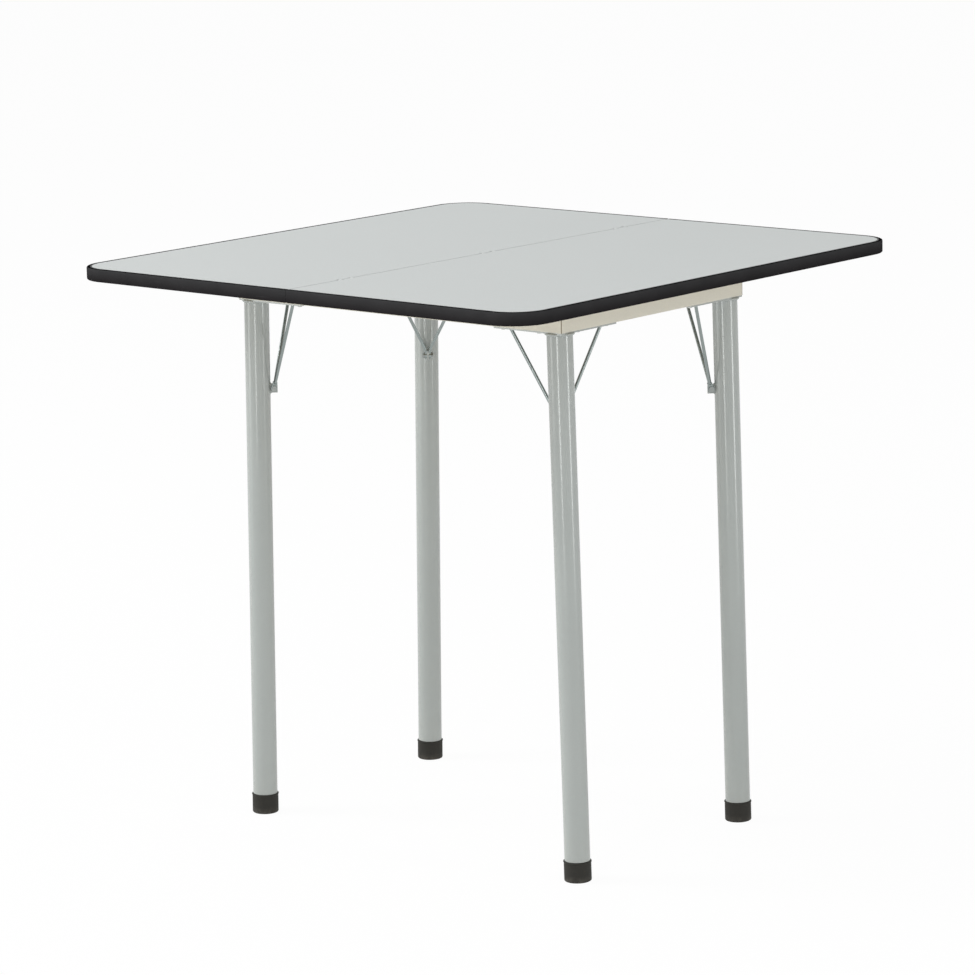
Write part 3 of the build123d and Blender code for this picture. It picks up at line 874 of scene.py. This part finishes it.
def nylon_finish():
    """Milky white with a faint drift and a smooth moulded skin."""
    tree, shader, where = start_finish("nylon", specular=0.45)
    toned = effect(tree, tone_drift, Vector=where, Size=0.008, Strength=0.03, Colour=NYLON_MILK)
    rough = by_drift(tree, toned, NYLON_ROUGHNESS)
    skin = effect(tree, pebbles, Vector=where, Size=0.0012).outputs["Height"]
    smooth = relief(tree, skin, NYLON_RELIEF)
    wire(tree, shader, Base_Color=toned.outputs["Colour"], Roughness=rough, Normal=smooth)


def wood_finish():
    """Growth bands along Y between early and late wood, with fine pores."""
    tree, shader, where = start_finish("rail_wood", specular=0.25)
    wide = stretch(tree, where, RING_SIZE)
    rings = add(
        tree,
        "ShaderNodeTexWave",
        {"Vector": wide, "Scale": 2.2, "Distortion": 5.0, "Detail": 2.0, "Detail Scale": 1.2},
        wave_type="RINGS",
        rings_direction="Y",
    ).outputs["Fac"]
    pores = effect(tree, hairlines, Vector=where, Stretch=PORE_SIZE, Level=0.6).outputs["Mask"]
    bands = mix_colours(tree, rings, WOOD_EARLY, WOOD_LATE)
    colour = mix_colours(tree, part_of(tree, pores, PORE_SHARE), bands, WOOD_LATE)
    rough = by_mask(tree, rings, WOOD_ROUGHNESS)
    wire(tree, shader, Base_Color=colour, Roughness=rough, Normal=relief(tree, pores, WOOD_RELIEF))


nylon_finish()
wood_finish()
print(len(finishes), "finishes ready")

# %% [markdown]
# ## Dressing the solids
# The record names a slot for every solid node. Each node's mesh stays as it is, and only
# its material is exchanged for the finish of its slot.

# %% Dress the solids
for part in frame["record"]["subparts"]:
    mesh = nodes[part["node"]].data
    mesh.materials.clear()
    mesh.materials.append(finishes[part["material_slot"]])

# %% [markdown]
# ## Rings worked out with numpy
# The welds and the lips of the feet are all rings: a round profile carried along a closed
# path. A torus primitive could stand in, but a weld has ripples, and the weld round a lug
# follows the bend of the tube. So a ring is a function of two angles: one runs along the path
# and one round the profile. All points come out as one array, and the quads join each
# point to its neighbours, with the last row and column joined to the first.

# %% Ring builder
RING_COLUMNS = 12


def full_turn(count):
    """Evenly spaced angles of one full turn, the last one short of the first."""
    return np.linspace(0, 2 * np.pi, count, endpoint=False)


def level_circle(count):
    """Outward and upward directions at the points of a level circle."""
    angle = full_turn(count)
    out = np.stack([np.cos(angle), np.sin(angle), np.zeros_like(angle)], axis=1)
    up = np.tile([0.0, 0.0, 1.0], (count, 1))
    return out, up


def ring_quads(rows, columns):
    """Quads of a grid that is closed both ways, as an array of four point numbers each."""
    row, column = np.meshgrid(np.arange(rows), np.arange(columns), indexing="ij")
    next_row = (row + 1) % rows
    next_column = (column + 1) % columns
    corners = [
        row * columns + column,
        next_row * columns + column,
        next_row * columns + next_column,
        row * columns + next_column,
    ]
    return np.stack(corners, axis=-1).reshape(-1, 4)


def ring_points(path, out, up, radius):
    """Each path point plus radius times (cosine times out plus sine times up) round the profile."""
    angle = full_turn(RING_COLUMNS)[None, :, None]
    spoke = np.cos(angle) * out[:, None, :] + np.sin(angle) * up[:, None, :]
    return (path[:, None, :] + radius[:, None, None] * spoke).reshape(-1, 3)


def turned_outwards(points, quads):
    """The quads, reversed if the volume that they enclose, summed from their corners, is negative."""
    a, b, c, d = (points[quads[:, i]] for i in range(4))
    volume = np.einsum("ij,ij->", a, np.cross(b, c)) + np.einsum("ij,ij->", a, np.cross(c, d))
    return quads if volume > 0 else quads[:, ::-1]


def make_ring(name, path, out, up, radius, slot):
    """A smooth ring as an object at the origin that rides on the base in the slot's finish."""
    points = ring_points(path, out, up, radius)
    quads = turned_outwards(points, ring_quads(len(path), RING_COLUMNS))
    mesh = bpy.data.meshes.new(name)
    mesh.from_pydata(points.tolist(), [], quads.tolist())
    mesh.polygons.foreach_set("use_smooth", np.ones(len(quads), dtype=bool))
    mesh.materials.append(finishes[slot])
    piece = bpy.data.objects.new(name, mesh)
    scene.collection.objects.link(piece)
    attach(piece, "base")
    return piece


print("the profile of a ring has", RING_COLUMNS, "points")

# %% [markdown]
# ## Where the legs stand
# A leg leans outwards along X only, so its box tells everything: across Y the box is as wide as
# the tube, and along X the top of the tube touches one side of the box and the bottom
# the other. From these, the centre line of each leg follows.

# %% Measure the legs
CORNERS = {
    "front_right": (1, -1),
    "front_left": (-1, -1),
    "back_right": (1, 1),
    "back_left": (-1, 1),
}


def leg_line(corner):
    """Top centre, bottom centre and radius of a tube, from the box of its solid."""
    side_x = CORNERS[corner][0]
    low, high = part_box(corner + "_leg_tube")
    radius = (high.y - low.y) / 2
    inner_x, outer_x = (low.x, high.x) if side_x > 0 else (high.x, low.x)
    middle_y = (low.y + high.y) / 2
    top = np.array([inner_x + side_x * radius, middle_y, high.z])
    bottom = np.array([outer_x - side_x * radius, middle_y, low.z])
    return top, bottom, radius


def leg_point(corner, height):
    """Point of the leg's centre line at a height."""
    top, bottom, _ = leg_line(corner)
    share = (top[2] - height) / (top[2] - bottom[2])
    return top + share * (bottom - top)


for corner in CORNERS:
    leg_top, leg_bottom, leg_radius = leg_line(corner)
    print(corner, "leg of radius", round(leg_radius, 4))
    print("  from", leg_top.round(4), "to", leg_bottom.round(4))

# %% [markdown]
# ## Welds
# Each tube is welded to its corner plate, and each brace lug to its tube. A weld is laid
# as a row of overlapping pools, so its bead swells and narrows along its length. The plate
# weld is a circle under the plate. The lug weld runs round the root of the lug, up one
# side and down the other, and bends with the tube behind it.

# %% Lay the welds
PLATE_BEAD = 0.0017
LUG_BEAD = 0.0011
POOL_STEP = 0.0028
POOL_SWELL = 0.13
PLATE_SINK = PLATE_BEAD / 3
WELD_POINTS = 180
LUG_HALF_THICKNESS = 0.0015
LUG_SQUARENESS = 6.0


def bead_radius(angle, length, bead):
    """Bead radius along the weld: the mean times one plus a ripple for each pool."""
    pools = round(length / POOL_STEP)
    ripple = np.abs(np.sin(pools * angle / 2)) * 2 - 1
    return bead * (1 + POOL_SWELL * ripple)


def squared(wave):
    """A sine or cosine pushed towards -1 and 1, so that the oval it draws has squarer corners."""
    return np.sign(wave) * np.abs(wave) ** (2 / LUG_SQUARENESS)


def plate_weld(corner):
    """Circle round the tube just under the corner plate, partly sunk into both."""
    top, _, radius = leg_line(corner)
    out, up = level_circle(WELD_POINTS)
    path = top + (radius + PLATE_SINK) * out - PLATE_SINK * up
    bead = bead_radius(full_turn(WELD_POINTS), 2 * np.pi * radius, PLATE_BEAD)
    return make_ring(corner + "_plate_weld", path, out, up, bead, "grey_paint")


def lug_weld(corner):
    """Loop round the root of the lug: a squared-off oval, laid onto the round of the tube."""
    side_x, side_y = CORNERS[corner]
    low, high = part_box(corner + "_brace_lug")
    middle = leg_point(corner, (low.z + high.z) / 2)
    radius = leg_line(corner)[2]
    inward = np.array([-side_x, -side_y, 0]) / np.sqrt(2)
    across = np.array([inward[1], -inward[0], 0])
    upright = np.array([0, 0, 1.0])
    angle = full_turn(WELD_POINTS)
    side = squared(np.cos(angle)) * LUG_HALF_THICKNESS
    rise = squared(np.sin(angle)) * (high.z - low.z) / 2
    depth = np.sqrt(radius**2 - side**2)
    path = middle + depth[:, None] * inward + side[:, None] * across + rise[:, None] * upright
    out = np.cos(angle)[:, None] * across + np.sin(angle)[:, None] * upright
    up = np.tile(inward, (WELD_POINTS, 1))
    bead = bead_radius(angle, 4 * LUG_HALF_THICKNESS + 2 * (high.z - low.z), LUG_BEAD)
    return make_ring(corner + "_lug_weld", path, out, up, bead, "grey_paint")


for corner in CORNERS:
    welds = (plate_weld(corner), lug_weld(corner))
    print("laid", [weld.name for weld in welds], [len(weld.data.polygons) for weld in welds])

# %% [markdown]
# ## Lips of the feet
# A rubber cup is moulded with a thicker lip at its mouth, which keeps it from splitting when it
# is pushed onto the tube. In the picture the lip shows as a slight flare at the top corners
# of each foot. It is one more ring, round the mouth, in the rubber finish.

# %% Add the lips
LIP_BEAD = 0.0012
LIP_STAND = 0.0006
LIP_POINTS = 96


def foot_lip(corner):
    """Circle round the mouth of the foot, sunk in the cup so that only its outer part stands out."""
    low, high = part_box(corner + "_leg_foot")
    cup_radius = (high.y - low.y) / 2
    mouth = leg_line(corner)[1][2]
    middle = leg_point(corner, mouth - LIP_BEAD)
    out, up = level_circle(LIP_POINTS)
    path = middle + (cup_radius + LIP_STAND - LIP_BEAD) * out
    bead = np.full(LIP_POINTS, LIP_BEAD)
    return make_ring(corner + "_foot_lip", path, out, up, bead, "black_rubber")


for corner in CORNERS:
    lip = foot_lip(corner)
    print("added", lip.name, "with", len(lip.data.polygons), "quads")

# %% [markdown] ## Closing The visual model must not be bigger than the solids.
